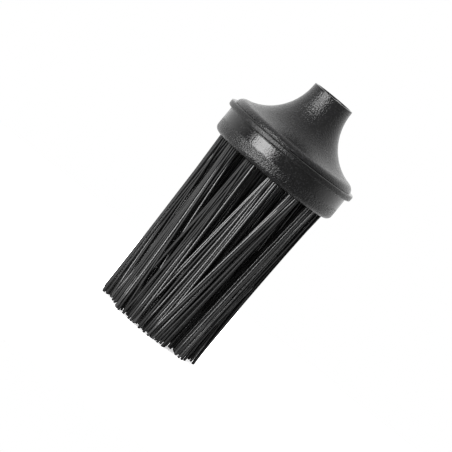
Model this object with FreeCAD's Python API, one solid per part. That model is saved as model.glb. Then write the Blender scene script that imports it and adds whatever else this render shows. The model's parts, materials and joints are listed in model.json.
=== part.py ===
import FreeCAD, Part
import math
import os

# A round crevice brush head for a pole. A trumpet-shaped cover with a handle socket is welded onto a round
# block, and the block holds rings of stiff bristle tufts, each folded over a wire anchor in its hole.
# The brush stands on its bristle tips: the tips are at Z = 0, and the socket's mouth is on top, on the Z axis.

# Driving dimensions, in millimetres and degrees

bristle_length = 95.3  # free length, from the block's face down to the tips
head_height = 47.7  # from the block's face up to the socket's mouth

drum_diameter = 70.8
drum_height = 13.4  # from the block's face up to the underside of the flange
drum_edge_radius = 2.8
flange_overhang = 2.1  # how far the flange stands out from the drum
flange_thickness = 3.2
flange_edge_radius = 0.8
rim_wall = 2.6  # wall of the block around the recess that takes the cover
recess_depth = 4.9
hole_floor = 2.0  # plastic left between the tuft holes and the recess

socket_diameter = 19.3  # takes the tip of a 3/4 inch pole
socket_floor = 2.5
socket_lead_in = 0.4  # chamfer at the socket's mouth
neck_wall = 1.8
neck_straight = 0.5  # upright stretch between the neck's rounded rim and the trumpet
rim_round = 0.4

shoulder_inset = 0.1  # the shoulder is this much smaller in radius than the drum
shoulder_radius = 4.2
shoulder_lean = 14.0  # how far the shoulder's side leans in where it meets the seam
flare_slope = 12.4  # slope of the trumpet where it runs into the shoulder
cover_wall = 2.4
rib_count = 8
rib_thickness = 1.8
seam_height = 0.4  # groove that shows between the cover and the flange
seam_depth = 0.6
tongue_thickness = 2.0  # ring under the cover that centres it in the block
tongue_clearance = 0.15
tongue_gap = 0.8  # room under the tongue for weld flash

filament_diameter = 0.95
filament_gap = 0.3  # least space between filaments in a tuft's root
root_margin = 0.06  # bound of the root outside its filaments
root_chamfer = 1.0  # where the filaments fold over at the root
tuft_clearance = 0.05
hole_edge_margin = 3.7  # from the drum's side to the outer ring of holes
inner_ring_diameter = 22.0  # through the centres of its holes; the middle ring lies halfway between
outer_tufts = 13
middle_tufts = 10
inner_tufts = 5

tip_diameter = 57.6  # the whole bundle at its tips
tip_gap = 0.4  # space between neighbouring tufts at their tips
tip_jitter = 0.25  # how far each filament strays at its tip
tip_raggedness = 1.4  # difference between the longest and shortest filament
tuft_twist = 20.0  # most that a tuft turns between its root and its tips

anchor_thickness = 0.45
anchor_height = 1.8
anchor_bite = 0.45  # how far each end of an anchor cuts into the wall of its hole
anchor_cover = 2.2  # depth of folded filament above the anchor
anchor_clearance = 0.05

RINGS = (("outer", outer_tufts), ("middle", middle_tufts), ("inner", inner_tufts))
FILAMENT_SIDES = 6
FILAMENT_RINGS = 2  # hexagonal rings of filaments round the anchor in a root
LENGTH_STEP = 7  # spreads the filament lengths evenly over a tuft
GOLDEN_ANGLE = math.radians(137.5)
ORIGIN = FreeCAD.Vector(0, 0, 0)
UP = FreeCAD.Vector(0, 0, 1)

# Levels, radii and limited edge roundings that follow from the driving dimensions

face_z = bristle_length
flange_z = face_z + drum_height
seat_z = flange_z + flange_thickness  # the cover sits on the flange here
plate_z = seat_z - recess_depth  # bottom of the recess
hole_depth = plate_z - hole_floor - face_z
rim_z = face_z + head_height

drum_r = drum_diameter / 2
flange_r = drum_r + flange_overhang
recess_r = drum_r - rim_wall
tongue_outer_r = recess_r - tongue_clearance
tongue_inner_r = tongue_outer_r - tongue_thickness
shoulder_r = drum_r - shoulder_inset
socket_r = socket_diameter / 2
neck_r = socket_r + neck_wall

drum_edge = min(drum_edge_radius, drum_height / 2)
flange_edge = min(flange_edge_radius, 0.4 * flange_thickness, 0.8 * flange_overhang)
rim_edge = min(rim_round, 0.45 * neck_wall)
lead_in = min(socket_lead_in, 0.45 * neck_wall)

filament_r = filament_diameter / 2
root_spacing = filament_diameter + filament_gap
root_r = FILAMENT_RINGS * root_spacing + filament_r + root_margin
hole_r = root_r + tuft_clearance
anchor_length = 2 * (hole_r + anchor_bite)
anchor_z = face_z + hole_depth - anchor_cover - anchor_height

# The trumpet is part of an ellipse: upright at the neck, and at the flare's slope where it meets the shoulder

seam_z = seat_z + seam_height
seam_lean = math.radians(shoulder_lean)
slope = math.radians(flare_slope)
corner_r = shoulder_r - shoulder_radius * math.cos(seam_lean)
corner = FreeCAD.Vector(corner_r, 0, seam_z - shoulder_radius * math.sin(seam_lean))
trumpet_top_z = rim_z - rim_edge - neck_straight
trumpet_across = corner.x + shoulder_radius * math.sin(slope) - neck_r
trumpet_down = trumpet_top_z - corner.z - shoulder_radius * math.cos(slope)
slope_share = math.tan(slope) * trumpet_across / trumpet_down
trumpet_end = math.acos(slope_share / (1 - slope_share))
ellipse_across = trumpet_across / (1 - math.cos(trumpet_end))
ellipse_down = trumpet_down / math.sin(trumpet_end)
ellipse_centre = FreeCAD.Vector(neck_r + ellipse_across, 0, trumpet_top_z)


def at(r, z):
    """A point of a half section, which lies in the XZ plane."""
    return FreeCAD.Vector(r, 0, z)


def lines(*points):
    """Straight edges from point to point."""
    return [Part.LineSegment(a, b).toShape() for a, b in zip(points, points[1:])]


def arc(centre, radius, start, end):
    """An arc of the half section from one angle to another, in degrees."""
    turns = [math.radians(angle) for angle in (start, (start + end) / 2, end)]
    points = [centre + at(radius * math.cos(turn), radius * math.sin(turn)) for turn in turns]
    return Part.Arc(*points).toShape()


def trumpet(inset, end):
    """The trumpet's curve from the neck out to an angle of its ellipse, moved into the wall by an inset."""
    neck_end = ellipse_centre - at(ellipse_across + inset, 0)
    low_end = ellipse_centre - at(0, ellipse_down + inset)
    if ellipse_across > ellipse_down:
        return Part.ArcOfEllipse(Part.Ellipse(neck_end, low_end, ellipse_centre), 0, end).toShape()
    ellipse = Part.Ellipse(low_end, neck_end, ellipse_centre)
    return Part.ArcOfEllipse(ellipse, math.pi / 2 - end, math.pi / 2).toShape()


def revolve(edges):
    """The solid that a closed half section sweeps about the Z axis."""
    return Part.Face(Part.Wire(Part.__sortEdges__(edges))).revolve(ORIGIN, UP, 360)


def make_block(roots):
    """The bristle block: drum, flange and recess, with a blind hole and two anchor grooves for each tuft."""
    r, e = drum_edge, flange_edge
    section = lines(at(0, plate_z), at(0, face_z), at(drum_r - r, face_z))
    section.append(arc(at(drum_r - r, face_z + r), r, -90, 0))
    section += lines(at(drum_r, face_z + r), at(drum_r, flange_z), at(flange_r - e, flange_z))
    section.append(arc(at(flange_r - e, flange_z + e), e, -90, 0))
    section += lines(at(flange_r, flange_z + e), at(flange_r, seat_z - e))
    section.append(arc(at(flange_r - e, seat_z - e), e, 0, 90))
    section += lines(at(flange_r - e, seat_z), at(recess_r, seat_z), at(recess_r, plate_z), at(0, plate_z))

    length = anchor_length + 2 * anchor_clearance
    width = anchor_thickness + 2 * anchor_clearance
    height = anchor_z + anchor_height + anchor_clearance - face_z
    groove = Part.makeBox(length, width, height, FreeCAD.Vector(-length / 2, -width / 2, face_z))
    hole = Part.makeCylinder(hole_r, hole_depth, at(0, face_z), UP).fuse(groove)
    return revolve(section).cut(Part.makeCompound([hole.translated(root) for root in roots]))


def make_cover_form():
    """The cover as a solid form, before its socket and hollow are cut."""
    seam_r = shoulder_r - seam_depth
    tongue_z = plate_z + tongue_gap
    section = lines(at(0, plate_z), at(tongue_inner_r, plate_z), at(tongue_inner_r, tongue_z),
                    at(tongue_outer_r, tongue_z), at(tongue_outer_r, seat_z), at(seam_r, seat_z),
                    at(seam_r, seam_z), at(shoulder_r, seam_z))
    section.append(arc(corner, shoulder_radius, shoulder_lean, 90 - flare_slope))
    section.append(trumpet(0, trumpet_end))
    section += lines(at(neck_r, trumpet_top_z), at(neck_r, rim_z - rim_edge))
    section.append(arc(at(neck_r - rim_edge, rim_z - rim_edge), rim_edge, 0, 90))
    section += lines(at(neck_r - rim_edge, rim_z), at(0, rim_z), at(0, plate_z))
    return revolve(section)


def make_socket():
    """The room of the handle socket, with its lead-in chamfer."""
    floor_z = plate_z + socket_floor
    return revolve(lines(at(0, floor_z), at(socket_r, floor_z), at(socket_r, rim_z - lead_in),
                         at(socket_r + lead_in, rim_z), at(0, rim_z), at(0, floor_z)))


def make_hollow():
    """The room between the socket's tube and the cover's shell, less the ribs that join them."""
    wall = trumpet(cover_wall, math.pi / 2)
    low_z = ellipse_centre.z - ellipse_down - cover_wall
    section = lines(at(0, plate_z), at(ellipse_centre.x, plate_z), at(ellipse_centre.x, low_z))
    section.append(wall)
    section += lines(at(neck_r - cover_wall, trumpet_top_z), at(0, trumpet_top_z), at(0, plate_z))
    height = rim_z - plate_z
    ring = Part.makeCylinder(tongue_inner_r, height, at(0, plate_z), UP)
    ring = ring.cut(Part.makeCylinder(neck_r, height, at(0, plate_z), UP))
    rib = Part.makeBox(shoulder_r, rib_thickness, height, FreeCAD.Vector(0, -rib_thickness / 2, plate_z))
    ribs = [rib.rotated(ORIGIN, UP, 360 * i / rib_count) for i in range(rib_count)]
    return revolve(section).common(ring).cut(Part.makeCompound(ribs))


def make_cover():
    """The trumpet-shaped cover with its handle socket, hollow and stiffened by ribs."""
    return make_cover_form().cut(make_socket()).cut(make_hollow())


def place_tufts():
    """The tufts' names, and their roots' places in plan."""
    names, roots = [], []
    outer_r = drum_r - hole_edge_margin - hole_r
    ring_pitch = (outer_r - inner_ring_diameter / 2) / (len(RINGS) - 1)
    for ring, (ring_name, count) in enumerate(RINGS):
        ring_r = outer_r - ring * ring_pitch
        for i in range(count):
            angle = 2 * math.pi * (i + ring / 2) / count
            names.append(f"{ring_name}_tuft_{i + 1:02d}")
            roots.append(FreeCAD.Vector(ring_r * math.cos(angle), ring_r * math.sin(angle), 0))
    return names, roots


def tip_layout(roots):
    """How far the tufts draw together towards the tips, as a share, and a tuft's radius at its tips."""
    reach = max(root.Length for root in roots)
    spacing = min(a.distanceToPoint(b) for i, a in enumerate(roots) for b in roots[:i])
    draw = (tip_diameter + tip_gap) / (2 * reach + spacing)
    return draw, (draw * spacing - tip_gap) / 2


def direction(angle):
    """A unit step in plan, as a complex number."""
    return complex(math.cos(angle), math.sin(angle))


def filament_places():
    """Where the filaments sit in a root, in steps of their spacing: hexagonal rings with nothing in the middle."""
    places = []
    for ring in range(1, FILAMENT_RINGS + 1):
        for side in range(6):
            start = direction(math.pi / 3 * side)
            along = direction(math.pi / 3 * (side + 2))
            places += [ring * start + step * along for step in range(ring)]
    return places


def make_filament(start, end, top_z, tip_z):
    """One straight filament between two places in plan, trimmed level at its tip."""
    turn = 2 * math.pi / FILAMENT_SIDES
    outline = [end + filament_r * direction(i * turn) for i in range(FILAMENT_SIDES + 1)]
    trim = Part.Face(Part.makePolygon([FreeCAD.Vector(p.real, p.imag, tip_z) for p in outline]))
    lean = start - end
    return trim.extrude(FreeCAD.Vector(lean.real, lean.imag, top_z - tip_z))


def make_root():
    """The packed root of a tuft, chamfered where it folds over and slotted for its anchor."""
    chamfer = min(root_chamfer, root_r / 2, hole_depth / 2)
    straight = hole_depth - chamfer
    root = Part.makeCylinder(root_r, straight, at(0, face_z), UP)
    root = root.fuse(Part.makeCone(root_r, root_r - chamfer, chamfer, at(0, face_z + straight), UP))
    width = anchor_thickness + 2 * anchor_clearance
    height = anchor_height + 2 * anchor_clearance
    slot_corner = FreeCAD.Vector(-hole_r, -width / 2, anchor_z - anchor_clearance)
    return root.cut(Part.makeBox(2 * hole_r, width, height, slot_corner))


def make_tuft(index, root, draw, tip_r):
    """A tuft: its packed root, and the filaments that fan out and twist from it."""
    plan = complex(root.x, root.y)
    twist = direction(math.radians(tuft_twist) * math.sin(index * GOLDEN_ANGLE))
    tip_spacing = (tip_r - filament_r - tip_jitter) / FILAMENT_RINGS
    places = filament_places()
    filaments = []
    for i, place in enumerate(places):
        stray = tip_jitter * direction(GOLDEN_ANGLE * (index * len(places) + i))
        start = plan + place * root_spacing
        end = plan * draw + place * twist * tip_spacing + stray
        tip_z = tip_raggedness * (i * LENGTH_STEP % len(places)) / len(places)
        filaments.append(make_filament(start, end, face_z, tip_z))
    return make_root().translated(root).multiFuse(filaments)


def make_anchor():
    """A cut length of flat wire that pins one tuft in its hole."""
    start = FreeCAD.Vector(-anchor_length / 2, -anchor_thickness / 2, anchor_z)
    return Part.makeBox(anchor_length, anchor_thickness, anchor_height, start)


def main():
    names, roots = place_tufts()
    draw, tip_r = tip_layout(roots)
    nodes = {"neck_cover": make_cover(), "bristle_block": make_block(roots)}
    nodes["tuft_anchors"] = Part.makeCompound([make_anchor().translated(root) for root in roots])
    for index, (name, root) in enumerate(zip(names, roots)):
        nodes[name] = make_tuft(index, root, draw, tip_r)
    os.makedirs("parts", exist_ok=True)
    for name, shape in nodes.items():
        shape.exportStep(f"parts/{name}.step")
        print(name, "solids", len(shape.Solids), "valid", shape.isValid(), "volume", round(shape.Volume, 1))


main()
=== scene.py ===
import bpy
import json
import math
import numpy as np
from mathutils import Matrix, Vector


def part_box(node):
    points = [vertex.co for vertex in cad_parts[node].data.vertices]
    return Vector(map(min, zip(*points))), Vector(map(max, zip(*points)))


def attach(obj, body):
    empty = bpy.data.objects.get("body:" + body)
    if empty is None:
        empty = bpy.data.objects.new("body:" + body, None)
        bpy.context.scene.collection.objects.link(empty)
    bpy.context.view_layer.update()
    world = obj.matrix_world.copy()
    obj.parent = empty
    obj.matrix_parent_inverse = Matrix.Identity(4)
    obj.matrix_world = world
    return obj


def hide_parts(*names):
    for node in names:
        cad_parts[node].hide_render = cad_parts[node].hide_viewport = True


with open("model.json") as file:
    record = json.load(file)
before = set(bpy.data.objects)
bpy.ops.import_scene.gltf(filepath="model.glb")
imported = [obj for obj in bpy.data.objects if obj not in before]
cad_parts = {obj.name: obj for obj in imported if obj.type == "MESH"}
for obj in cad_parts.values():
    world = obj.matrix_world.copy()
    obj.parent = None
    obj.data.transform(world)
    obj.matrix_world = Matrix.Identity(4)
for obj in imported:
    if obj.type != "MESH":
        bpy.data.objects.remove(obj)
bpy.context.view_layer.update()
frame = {"nodes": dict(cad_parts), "record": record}

# A black crevice brush head, standing on its bristle tips. Lengths are in metres, angles in degrees.

MM = 0.001
INCH = 25.4 * MM
UP = Vector((0, 0, 1))
SEED = 11
TINY = 1e-9  # keeps divisors above zero

# Levels and radii of the solids

block_low, block_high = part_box("bristle_block")
face_z = block_low.z
flange_top_z = block_high.z
flange_r = block_high.x
rim_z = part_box("neck_cover")[1].z
anchor_top_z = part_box("tuft_anchors")[1].z
socket_r = frame["record"]["mounts"][0]["dims"]["r_mm"] * MM
tuft_names = sorted(name for name in frame["nodes"] if "_tuft_" in name)

# The photograph's view

IMAGE_PIXELS = 452
flange_pixels = 155.2  # width of the flange in the photograph
axis_pixel = (233.4, 220.3)  # a point of the brush's axis in the photograph
axis_pixel_z = 66.3 * MM  # height of that point
camera_distance = 1.7
camera_elevation = 5.2
camera_roll = 39.4
sensor_width = 36.0  # millimetres, as the lens
facing_tuft = "outer_tuft_04"
facing_turn = 5.0  # the facing tuft stands this far to the right of the view's middle

# Tufts at the block

ROW_COUNTS = (5, 4)  # folded filaments beside the anchor, and over those
anchor_half = 0.225 * MM  # half the anchor's thickness
row_slack = 0.05 * MM  # between the anchor and the first row
row_step = 0.9 * MM
place_step = 1.2 * MM  # between neighbours in a row

# Filaments

filament_r = 0.51 * MM
end_round = 0.14 * MM  # length of the rounding at a filament's end
end_share = 0.75  # of the radius is left at the very end
raggedness = 2.4 * MM  # the shortest filaments end this far above the floor
stray = 2.1 * MM  # usual wander of a tip
bow = 0.3 * MM  # usual bow at a filament's middle
FILAMENT_SIDES = 10
PATH_STEPS = 10
FOLD_STEPS = 6
PART_ROUNDS = 40
flat_step = 8 * filament_r  # from one filament to the next in flat coordinates, more than the girth

# The bundle of filaments

tip_r = 28.9 * MM  # the bundle's radius at the tips
root_flare = 2.9 * MM  # how much wider it is at the block
root_drift = -0.35 * MM  # how far the bundle's middle stands to the right of the head's axis at the block
tip_drift = 0.65 * MM  # and at the tips
draw_in = 0.87  # a tuft's distance from the axis at the tips, as a share of that at the block
fan_out = 1.5  # a tuft's width at the tips, as a share of that at the block
early_draw = -0.05  # how much sooner than evenly the tufts draw in, and how much more so to the right
early_draw_right = 0.58
lean_spread = 3.0  # usual lean of a tuft round its ring

# Leans of the tufts on the near side, as photographed
LEANS = {"outer_tuft_01": 0.0, "outer_tuft_02": 2.0, "outer_tuft_03": -1.0, "outer_tuft_04": -1.5,
         "outer_tuft_05": -5.0, "outer_tuft_06": -3.5, "outer_tuft_07": 0.0}

# The socket's screw thread

thread_pitch = INCH / 5
thread_height = 1.3 * MM
thread_crest = 1.7 * MM
thread_root = 2.7 * MM
thread_sink = 0.05 * MM  # the ridge reaches this far into the wall
thread_top = 3.0 * MM  # below the rim
thread_turns = 5
thread_fade = 0.25  # of a turn at each end
TURN_STEPS = 72
THREAD_CORNERS = 4  # of the ridge's section

# Moulded surface

NOISE_RANGE = (0.3, 0.7)  # nearly all noise lies between these
NOISE_DETAIL = 2.0
PLASTIC_IOR = 1.6
grain_size = 0.75 * MM
mottle_size = 3.0 * MM
# Grain levels at which the colour turns paler: scuffed tone together with painted sparkle
SCUFF_AND_SPARKLE_RANGE = (0.5, 0.72)  # the grain turns paler between these levels
edge_height = 0.9 * MM  # the top edge of each moulding is smooth
edge_grain = 0.15  # shares of the grain and of the roughness there
edge_polish = 0.45
belt_low = face_z + 7.0 * MM  # the drum's wall is polished between these levels
belt_high = face_z + 13.0 * MM
belt_edge = 0.35 * MM  # half the height of the belt's soft edges

# The drum's lower wall, belt and flange: shares of the grain and of the roughness, and the shine itself
DRUM_BANDS = {"grain": (1.0, 0.3, 0.7), "roughness": (1.0, 0.55, 1.35), "shine": (0.5, 0.66, 0.46)}

# Filament and wire surface

FILAMENT_IOR = 1.75
shiny_share = 0.4  # of the filaments
streak_size = 0.4 * MM
streak_depth = 0.015 * MM
streak_stretch = 100  # times as long as wide
wire_line_size = 0.2 * MM
wire_line_depth = 0.005 * MM
wire_line_stretch = 20

# Studio

floor_reach = 0.3
floor_shade = 0.75  # how much of the shadow the floor takes under the brush
fade_start = 0.02  # the floor fades out between these distances from the brush's axis
fade_end = 0.12
dark_turn = -2.0  # the dark side's middle lies this far to the right of the camera
backdrop_edge = -0.7  # cosines of the angle from there at which the backdrop ends and the dark side starts
dark_edge = 0.4
backdrop_blend = 0.05
backdrop_light = 1.0
dark_light = 0.15


def plan(angle):
    """A unit step in plan."""
    return Vector((math.cos(angle), math.sin(angle), 0))


def tuft_root(name):
    """The middle of a tuft's root, at the top of its hole."""
    corners = [v.co for v in frame["nodes"][name].data.vertices if v.co.z > face_z + filament_r]
    low = [min(c[i] for c in corners) for i in range(3)]
    high = [max(c[i] for c in corners) for i in range(3)]
    return Vector(((low[0] + high[0]) / 2, (low[1] + high[1]) / 2, high[2]))


# Camera

facing_root = tuft_root(facing_tuft)
camera_angle = math.atan2(facing_root.y, facing_root.x) - math.radians(facing_turn)
to_camera = plan(camera_angle)
right_hand = plan(camera_angle + math.pi / 2)


def make_camera():
    """The photograph's camera, a little above the brush and rolled so that the neck points up and right."""
    elevation = math.radians(camera_elevation)
    roll = math.radians(camera_roll)
    back = to_camera * math.cos(elevation) + UP * math.sin(elevation)
    level_up = back.cross(right_hand)
    right = right_hand * math.cos(roll) + level_up * math.sin(roll)
    up = level_up * math.cos(roll) - right_hand * math.sin(roll)
    pixel = 2 * flange_r / flange_pixels
    from_middle = [p - IMAGE_PIXELS / 2 for p in axis_pixel]
    aim = UP * axis_pixel_z - right * from_middle[0] * pixel + up * from_middle[1] * pixel
    camera = bpy.data.cameras.new("camera")
    camera.sensor_width = sensor_width
    camera.lens = sensor_width * camera_distance / (IMAGE_PIXELS * pixel)
    turned = Matrix((right, up, back)).transposed().to_4x4()
    holder = bpy.data.objects.new("camera", camera)
    holder.matrix_world = Matrix.Translation(aim + back * camera_distance) @ turned
    bpy.context.collection.objects.link(holder)
    bpy.context.scene.camera = holder


# Shader nodes

def new_material(name, colour):
    """A node material of a colour, its tree and its shader."""
    material = bpy.data.materials.new(name)
    material.use_nodes = True
    tree = material.node_tree
    shader = tree.nodes["Principled BSDF"]
    shader.inputs["Base Color"].default_value = (*colour, 1)
    return material, tree, shader


def add(tree, kind, links=(), **values):
    """A node with its values set and its inputs linked from sockets."""
    made = tree.nodes.new(kind)
    for key, value in values.items():
        made.inputs[key.replace("_", " ")].default_value = value
    for key, socket in dict(links).items():
        tree.links.new(socket, made.inputs[key])
    return made


def math_node(tree, operation, first, second):
    """The result of an operation on two sockets."""
    made = add(tree, "ShaderNodeMath", {0: first, 1: second})
    made.operation = operation
    return made.outputs["Value"]


def noise(tree, place, size, stretch=(1, 1, 1)):
    """Noise whose features are about the given size, in metres."""
    mapped = add(tree, "ShaderNodeMapping", {"Vector": place}, Scale=stretch)
    made = add(tree, "ShaderNodeTexNoise", {"Vector": mapped.outputs["Vector"]},
               Scale=1 / size, Detail=NOISE_DETAIL)
    return made.outputs["Fac"]


def ramp(tree, value, low, high, to_low, to_high):
    """A value mapped from one range to another, held at the ends."""
    made = add(tree, "ShaderNodeMapRange", {"Value": value},
               From_Min=low, From_Max=high, To_Min=to_low, To_Max=to_high)
    return made.outputs["Result"]


def spread(tree, value, to_low, to_high):
    """Noise mapped to a range."""
    return ramp(tree, value, *NOISE_RANGE, to_low, to_high)


def add_bump(tree, shader, height, distance):
    """A bump of the shader's surface."""
    bump = add(tree, "ShaderNodeBump", {"Height": height}, Strength=1.0, Distance=distance)
    tree.links.new(bump.outputs["Normal"], shader.inputs["Normal"])


# Materials

def near_edge(tree, level, top, share):
    """A factor of 1 that falls to a share at a moulding's top edge."""
    return ramp(tree, level, top - edge_height, top - edge_height / 2, 1, share)


def drum_bands(tree, level, lower, belt, flange):
    """A value for each of the drum's lower wall, its polished belt and its flange."""
    wall = ramp(tree, level, belt_low - belt_edge, belt_low + belt_edge, lower, belt)
    step = ramp(tree, level, belt_high - belt_edge, belt_high + belt_edge, 0, flange - belt)
    return math_node(tree, "ADD", wall, step)


def make_plastic(name, colour, scuff_and_sparkle_colour, top, shine, grain_depth, smooth, rough, bands=None):
    """Black moulded plastic with a fine grain, paler at its peaks from scuffed tone and painted sparkle, and
    smoother at its top edge.
    """
    material, tree, shader = new_material(name, colour)
    shader.inputs["IOR"].default_value = PLASTIC_IOR
    shader.inputs["Specular IOR Level"].default_value = shine
    place = tree.nodes.new("ShaderNodeTexCoord").outputs["Object"]
    level = add(tree, "ShaderNodeSeparateXYZ", {0: place}).outputs["Z"]
    grain = noise(tree, place, grain_size)
    mottle = noise(tree, place, mottle_size)
    # Pale flecks on the grain's peaks: scuffed tone, and painted sparkle that stands in for glints off the
    # grain
    scuff_and_sparkle_mix = add(tree, "ShaderNodeMixRGB", {"Fac": ramp(tree, grain, *SCUFF_AND_SPARKLE_RANGE, 0, 1)},
                 Color1=(*colour, 1), Color2=(*scuff_and_sparkle_colour, 1))
    relief = math_node(tree, "MULTIPLY", grain, near_edge(tree, level, top, edge_grain))
    roughness = math_node(tree, "MULTIPLY", spread(tree, mottle, smooth, rough),
                          near_edge(tree, level, top, edge_polish))
    if bands:
        uneven = math_node(tree, "ADD", level, spread(tree, mottle, -belt_edge, belt_edge))
        relief = math_node(tree, "MULTIPLY", relief, drum_bands(tree, uneven, *bands["grain"]))
        roughness = math_node(tree, "MULTIPLY", roughness, drum_bands(tree, uneven, *bands["roughness"]))
        tree.links.new(drum_bands(tree, uneven, *bands["shine"]), shader.inputs["Specular IOR Level"])
    tree.links.new(scuff_and_sparkle_mix.outputs["Color"], shader.inputs["Base Color"])
    tree.links.new(roughness, shader.inputs["Roughness"])
    add_bump(tree, shader, relief, grain_depth)
    return material


def make_bristle(name, colour, shine, smooth, rough):
    """Black extruded filament with fine streaks along its length."""
    material, tree, shader = new_material(name, colour)
    shader.inputs["IOR"].default_value = FILAMENT_IOR
    shader.inputs["Specular IOR Level"].default_value = shine
    place = tree.nodes.new("ShaderNodeUVMap").outputs["UV"]
    streak = noise(tree, place, streak_size, (1, 1 / streak_stretch, 1))
    tree.links.new(spread(tree, streak, smooth, rough), shader.inputs["Roughness"])
    add_bump(tree, shader, streak, streak_depth)
    return material


def make_wire(name, colour, smooth, rough):
    """Bare flat wire with drawn lines along its length."""
    material, tree, shader = new_material(name, colour)
    shader.inputs["Metallic"].default_value = 1
    place = tree.nodes.new("ShaderNodeTexCoord").outputs["Object"]
    drawn = noise(tree, place, wire_line_size, (1 / wire_line_stretch, 1, 1))
    tree.links.new(spread(tree, drawn, smooth, rough), shader.inputs["Roughness"])
    add_bump(tree, shader, drawn, wire_line_depth)
    return material


def make_piece(name, vertices, faces, materials):
    """A smooth mesh piece that rides on the brush."""
    mesh = bpy.data.meshes.new(name)
    mesh.from_pydata(vertices, [], faces)
    for material in materials:
        mesh.materials.append(material)
    mesh.polygons.foreach_set("use_smooth", [True] * len(faces))
    piece = bpy.data.objects.new(name, mesh)
    bpy.context.collection.objects.link(piece)
    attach(piece, "root")
    return piece


# Filament paths

def bundle_middle(t):
    """The bundle's middle in plan, at a share of the way from the block to the tips."""
    return np.array(right_hand.xy) * (root_drift + (tip_drift - root_drift) * t)


def bundle_r(t):
    """The bundle's radius there."""
    return tip_r + root_flare * (1 - t) ** 2


def leg_starts(root):
    """Where a tuft's filaments leave the block, first on one side of its anchor and then on the other."""
    half = []
    for row, count in enumerate(ROW_COUNTS):
        y = anchor_half + row_slack + filament_r + row * row_step
        for i in range(count):
            half.append((place_step * (i - (count - 1) / 2), y))
    both = half + [(x, -y) for x, y in half]
    return np.array([(root.x + x, root.y + y) for x, y in both])


def leg_paths(draws):
    """The filaments' places in plan, as filament by step by axis, and the height of each tip."""
    starts, ends, leans, early = [], [], [], []
    for name in tuft_names:
        root = tuft_root(name)
        middle = np.array((root.x, root.y))
        places = leg_starts(root)
        side = np.array((-root.y, root.x)) / math.hypot(root.x, root.y)
        lean = math.radians(LEANS.get(name, lean_spread * draws.standard_normal()))
        starts.append(places)
        ends.append(middle * draw_in + (places - middle) * fan_out + bundle_middle(1))
        leans.append(np.tile(side * math.tan(lean) * face_z, (len(places), 1)))
        early += [early_draw + early_draw_right * root.dot(right_hand) / flange_r] * len(places)
    starts = np.concatenate(starts)[:, None]
    ends = np.concatenate(ends)[:, None]
    leans = np.concatenate(leans)[:, None]
    strays = stray * draws.standard_normal(starts.shape)
    bows = bow * draws.standard_normal(starts.shape)
    steps = np.linspace(0, 1, PATH_STEPS + 1)[None, :, None]
    drawn = steps + np.array(early)[:, None, None] * steps * (1 - steps)
    paths = starts + (ends - starts) * drawn + (leans + strays) * steps
    paths += bows * 4 * steps * (1 - steps)  # a parabola with its top at the middle
    heights = raggedness * draws.random(len(starts)) ** 2  # most are nearly full length
    return part_filaments(paths), heights


def push_apart(places, t):
    """Moves filaments apart where they run into each other at one level, and keeps them inside the bundle."""
    between = places[:, None] - places[None, :]
    gaps = np.hypot(between[..., 0], between[..., 1])
    np.fill_diagonal(gaps, 1)  # no filament pushes itself
    push = np.clip(2 * filament_r - gaps, 0, None) / np.maximum(gaps, TINY)
    places += (between * push[..., None]).sum(1) / 2
    middle = bundle_middle(t)
    reach = np.hypot(*(places - middle).T)
    limit = bundle_r(t) - filament_r
    places += (middle - places) * (1 - np.minimum(1, limit / np.maximum(reach, TINY)))[:, None]


def part_filaments(paths):
    """Parts the filaments at every level, and keeps each one a simple curve from its root."""
    steps = np.linspace(0, 1, PATH_STEPS + 1)[1:, None]
    powers = np.hstack([steps, steps ** 2])
    fit = powers @ np.linalg.pinv(powers)
    starts = paths[:, :1]
    for _ in range(PART_ROUNDS):
        for step in range(1, PATH_STEPS + 1):
            push_apart(paths[:, step], step / PATH_STEPS)
        paths[:, 1:] = starts + np.einsum("st,ntk->nsk", fit, paths[:, 1:] - starts)
    return paths


def leg_points(path, height):
    """The points of one filament's leg in space, from the block down to its tip."""
    return [Vector((p[0], p[1], face_z + (height - face_z) * i / PATH_STEPS)) for i, p in enumerate(path)]


def fold_points(start, end):
    """The points of a filament's fold over its anchor, from one leg to the other."""
    middle = (start + end) / 2
    reach = (start.y - end.y) / 2
    low = anchor_top_z - (anchor_half + row_slack)
    points = []
    for i in range(FOLD_STEPS + 1):
        turn = math.pi * i / FOLD_STEPS
        y = middle.y + reach * math.cos(turn)
        points.append(Vector((middle.x, y, low + abs(reach) * math.sin(turn))))
    return points


def filament_points(first, second):
    """One folded filament, from tip to tip."""
    return first[::-1] + fold_points(first[0], second[0]) + second


# Filament meshes

def rounded_line(points):
    """A filament's points, with one more near each end where its rounding starts."""
    first = points[0].lerp(points[1], end_round / (points[1] - points[0]).length)
    last = points[-1].lerp(points[-2], end_round / (points[-2] - points[-1]).length)
    return [points[0], first] + points[1:-1] + [last, points[-1]]


def tube(points):
    """The vertices, faces and flat coordinates of a round filament with slightly rounded ends."""
    line = rounded_line(points)
    count = FILAMENT_SIDES
    vertices, faces, flat = [], [], []
    for i, point in enumerate(line):
        along = (line[min(i + 1, len(line) - 1)] - line[max(i - 1, 0)]).normalized()
        side = Vector((1, 0, 0))
        side = (side - along * side.dot(along)).normalized()
        other = along.cross(side)
        radius = filament_r * (end_share if i in (0, len(line) - 1) else 1)
        for k in range(count):
            turn = 2 * math.pi * k / count
            vertices.append(point + (side * math.cos(turn) + other * math.sin(turn)) * radius)
    side_width = 2 * math.pi * filament_r / count
    run = 0
    for i in range(len(line) - 1):
        step = (line[i + 1] - line[i]).length
        for k in range(count):
            a = i * count + k
            b = i * count + (k + 1) % count
            faces.append((a, b, b + count, a + count))
            near, far = k * side_width, (k + 1) * side_width
            flat += [(near, run), (far, run), (far, run + step), (near, run + step)]
        run += step
    faces.append(tuple(reversed(range(count))))
    faces.append(tuple(len(vertices) - count + k for k in range(count)))
    flat += [(k * side_width, 0) for k in reversed(range(count))]
    flat += [(k * side_width, run) for k in range(count)]
    return vertices, faces, flat


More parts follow.
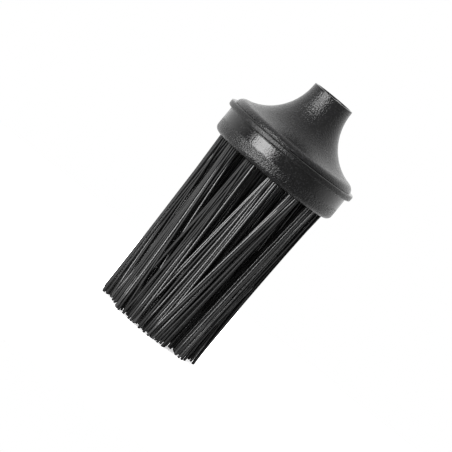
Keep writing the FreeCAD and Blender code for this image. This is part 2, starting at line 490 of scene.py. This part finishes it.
def make_tufts(shiny, dull):
    """Each tuft as a piece of folded filaments, some of them shiny."""
    draws = np.random.default_rng(SEED)
    paths, heights = leg_paths(draws)
    half = sum(ROW_COUNTS)
    for index, name in enumerate(tuft_names):
        vertices, faces, flat, kinds = [], [], [], []
        first = index * 2 * half
        for leg in range(first, first + half):
            points = filament_points(leg_points(paths[leg], heights[leg]),
                                     leg_points(paths[leg + half], heights[leg + half]))
            more, more_faces, more_flat = tube(points)
            faces += [tuple(len(vertices) + v for v in face) for face in more_faces]
            vertices += more
            flat += [(u + leg * flat_step, v) for u, v in more_flat]
            kinds += [int(draws.random() > shiny_share)] * len(more_faces)
        piece = make_piece(f"{name}_filaments", vertices, faces, (shiny, dull))
        unwrapped = piece.data.uv_layers.new(name="along_filament")
        unwrapped.uv.foreach_set("vector", np.ravel(flat))
        piece.data.polygons.foreach_set("material_index", kinds)
        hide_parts(name)


# Socket

def make_thread(material):
    """The ridge of the socket's screw thread, which fades into the wall at both ends."""
    vertices, faces = [], []
    total = thread_turns * TURN_STEPS
    wall_r = socket_r + thread_sink
    for i in range(total + 1):
        out = plan(2 * math.pi * i / TURN_STEPS)
        fade = min(1, min(i, total - i) / (thread_fade * TURN_STEPS))
        z = rim_z - thread_top - thread_pitch * i / TURN_STEPS
        crest_r = wall_r - (thread_height + thread_sink) * fade
        section = ((wall_r, thread_root / 2), (crest_r, thread_crest / 2),
                   (crest_r, -thread_crest / 2), (wall_r, -thread_root / 2))
        vertices += [out * r + UP * (z - half) for r, half in section]
    count = THREAD_CORNERS
    for i in range(total):
        for k in range(count):
            a = i * count + k
            b = i * count + (k + 1) % count
            faces.append((a, a + count, b + count, b))
    faces.append(tuple(range(count)))
    faces.append(tuple(reversed(range(total * count, (total + 1) * count))))
    make_piece("socket_thread", vertices, faces, (material,))


# Studio

def make_floor(colour, roughness):
    """A pale floor that takes the brush's shadow, fades out round it and can't be seen from below."""
    corners = [Vector((x, y, 0)) * floor_reach for x, y in ((-1, -1), (1, -1), (1, 1), (-1, 1))]
    mesh = bpy.data.meshes.new("floor")
    mesh.from_pydata(corners, [], [(0, 1, 2, 3)])
    material, tree, shader = new_material("pale_floor", colour)
    shader.inputs["Roughness"].default_value = roughness
    away = tree.nodes.new("ShaderNodeVectorMath")
    away.operation = "LENGTH"
    tree.links.new(tree.nodes.new("ShaderNodeTexCoord").outputs["Object"], away.inputs[0])
    fade = ramp(tree, away.outputs["Value"], fade_start, fade_end, floor_shade, 0)
    below = tree.nodes.new("ShaderNodeNewGeometry").outputs["Backfacing"]
    tree.links.new(math_node(tree, "SUBTRACT", fade, below), shader.inputs["Alpha"])
    mesh.materials.append(material)
    floor = bpy.data.objects.new("floor", mesh)
    floor.is_shadow_catcher = True
    bpy.context.collection.objects.link(floor)


def make_world():
    """A white backdrop behind the brush and a dark room on the camera's side; the camera sees plain white."""
    world = bpy.data.worlds.new("studio")
    bpy.context.scene.world = world
    world.use_nodes = True
    tree = world.node_tree
    cosine = tree.nodes.new("ShaderNodeVectorMath")
    cosine.operation = "DOT_PRODUCT"
    tree.links.new(tree.nodes.new("ShaderNodeTexCoord").outputs["Generated"], cosine.inputs[0])
    cosine.inputs[1].default_value = plan(camera_angle + math.radians(dark_turn))
    facing = cosine.outputs["Value"]
    room_light = ramp(tree, facing, backdrop_edge, dark_edge, backdrop_light, dark_light)
    room = tree.nodes["Background"]
    room.inputs["Color"].default_value = (1, 1, 1, 1)
    tree.links.new(room_light, room.inputs["Strength"])
    white = add(tree, "ShaderNodeBackground", Color=(1, 1, 1, 1), Strength=1.0)
    backdrop = ramp(tree, facing, backdrop_edge - backdrop_blend, backdrop_edge, 1, 0)
    rays = tree.nodes.new("ShaderNodeLightPath").outputs
    shiny = math_node(tree, "MAXIMUM", rays["Is Glossy Ray"], rays["Is Transmission Ray"])
    seen = math_node(tree, "MAXIMUM", rays["Is Camera Ray"], math_node(tree, "MULTIPLY", shiny, backdrop))
    mix = add(tree, "ShaderNodeMixShader",
              {0: seen, 1: room.outputs["Background"], 2: white.outputs["Background"]})
    tree.links.new(mix.outputs["Shader"], tree.nodes["World Output"].inputs["Surface"])


def make_lamp(name, turn, rise, distance, size, watts):
    """A softbox round to the right of the camera by a turn, and above the block's face by a rise."""
    lamp = bpy.data.lights.new(name, "AREA")
    lamp.shape = "RECTANGLE"
    lamp.size, lamp.size_y = size
    lamp.energy = watts
    level = math.cos(math.radians(rise))
    away = plan(camera_angle + math.radians(turn)) * level + UP * math.sin(math.radians(rise))
    holder = bpy.data.objects.new(name, lamp)
    holder.location = UP * face_z + away * distance
    holder.rotation_euler = away.to_track_quat("Z", "Y").to_euler()
    holder.visible_camera = False
    bpy.context.collection.objects.link(holder)


# The brush

# The paler fleck colours below are scuffed tone and painted sparkle on the grain's peaks
cover_plastic = make_plastic("cover_plastic", (0.018, 0.018, 0.0184), scuff_and_sparkle_colour=(0.04, 0.04, 0.041), top=rim_z,
                             shine=0.44, grain_depth=0.3 * MM, smooth=0.11, rough=0.17)
block_plastic = make_plastic("block_plastic", (0.006, 0.006, 0.0062), scuff_and_sparkle_colour=(0.034, 0.034, 0.035),
                             top=flange_top_z, shine=0.66, grain_depth=0.44 * MM, smooth=0.18, rough=0.28,
                             bands=DRUM_BANDS)
shiny_filament = make_bristle("shiny_filament", (0.055, 0.055, 0.0555), shine=0.8, smooth=0.22, rough=0.34)
dull_filament = make_bristle("dull_filament", (0.032, 0.032, 0.0323), shine=0.18, smooth=0.4, rough=0.5)
wire = make_wire("anchor_wire", (0.55, 0.56, 0.58), smooth=0.25, rough=0.45)
finishes = {"neck_cover": cover_plastic, "bristle_block": block_plastic, "tuft_anchors": wire}
for name, material in finishes.items():
    for slot in frame["nodes"][name].material_slots:
        slot.material = material
make_tufts(shiny_filament, dull_filament)
make_thread(cover_plastic)

# The view

make_camera()
make_floor((0.85, 0.85, 0.85), roughness=0.9)
make_world()
make_lamp("key", turn=-38.0, rise=6.2, distance=1.0, size=(0.63, 0.98), watts=13.3)
bpy.context.scene.view_settings.view_transform = "Standard"
